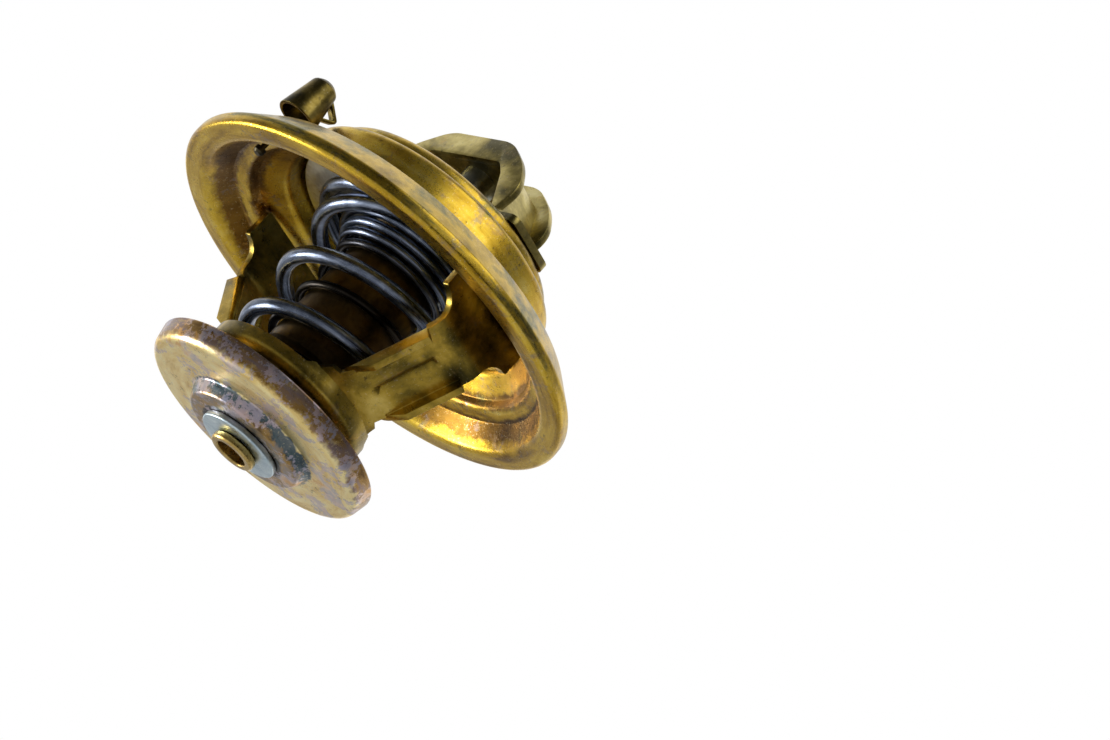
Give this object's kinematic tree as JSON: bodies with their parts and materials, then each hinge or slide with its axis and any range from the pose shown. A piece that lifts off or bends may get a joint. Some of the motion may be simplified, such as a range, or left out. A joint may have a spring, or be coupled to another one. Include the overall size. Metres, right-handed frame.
{
  "type": "engine thermostat",
  "caption": "Wax-capsule coolant valve: flanged hat with strap bridge, ribbed cage, conical main spring, spring-loaded bypass disc and hooded air vent.",
  "frame": {"origin": "on the valve's axis, in the plane of the flange face that is clamped in the housing", "axes": "+Z along the valve's axis towards the bridge and the outlet; +X through one leg of the cage and of the bridge; the bypass disc is at -Z"},
  "size_m": [0.067, 0.067, 0.0582],
  "materials": {
    "hat_plating": "yellow-passivated zinc on steel, satin",
    "cage_plating": "yellow-passivated zinc on steel, satin",
    "bridge_plating": "yellow-passivated zinc on steel, satin",
    "vent_plating": "yellow-passivated zinc on steel, satin",
    "disc_plating": "yellow-passivated zinc on steel with purple bloom",
    "spring_steel": "blued wire, smooth",
    "valve_steel": "plain steel, satin",
    "washer_zinc": "bright zinc",
    "capsule_brass": "dull brass",
    "stem_brass": "plain brass",
    "pin_steel": "ground steel",
    "seal_rubber": "matte black",
    "backing_plastic": "white, smooth",
    "wax": "copper-filled wax"
  },
  "bodies": {
    "housing": {"flange_hat": "hat_plating", "cage_frame": "cage_plating", "top_bridge": "bridge_plating", "pin_seat": "pin_steel", "piston_pin": "pin_steel", "main_spring": "spring_steel", "vent_hood": "vent_plating"},
    "capsule": {"main_valve_disc": "valve_steel", "valve_seal": "seal_rubber", "element_cup": "capsule_brass", "element_guide": "stem_brass", "backing_ring": "backing_plastic", "rubber_sleeve": "seal_rubber", "wax_charge": "wax", "bypass_stem": "stem_brass", "retaining_washer": "washer_zinc", "bypass_spring": "spring_steel"},
    "bypass": {"bypass_disc": "disc_plating"},
    "vent": {"vent_pin": "vent_plating"}
  },
  "joints": [
    {"name": "valve_lift", "type": "slide", "parent": "housing", "child": "capsule", "axis": [0, 0, -1], "range_m": [0, 0.008], "stiffness_N_per_m": 5000, "springref_m": -0.01, "deforming": ["main_spring"]},
    {"name": "bypass_slide", "type": "slide", "parent": "capsule", "child": "bypass", "axis": [0, 0, 1], "range_m": [0, 0.0035], "stiffness_N_per_m": 1500, "springref_m": -0.004, "deforming": ["bypass_spring"]},
    {"name": "vent_float", "type": "slide", "parent": "housing", "child": "vent", "axis": [0, 0, 1], "range_m": [0, 0.0009]}
  ]
}
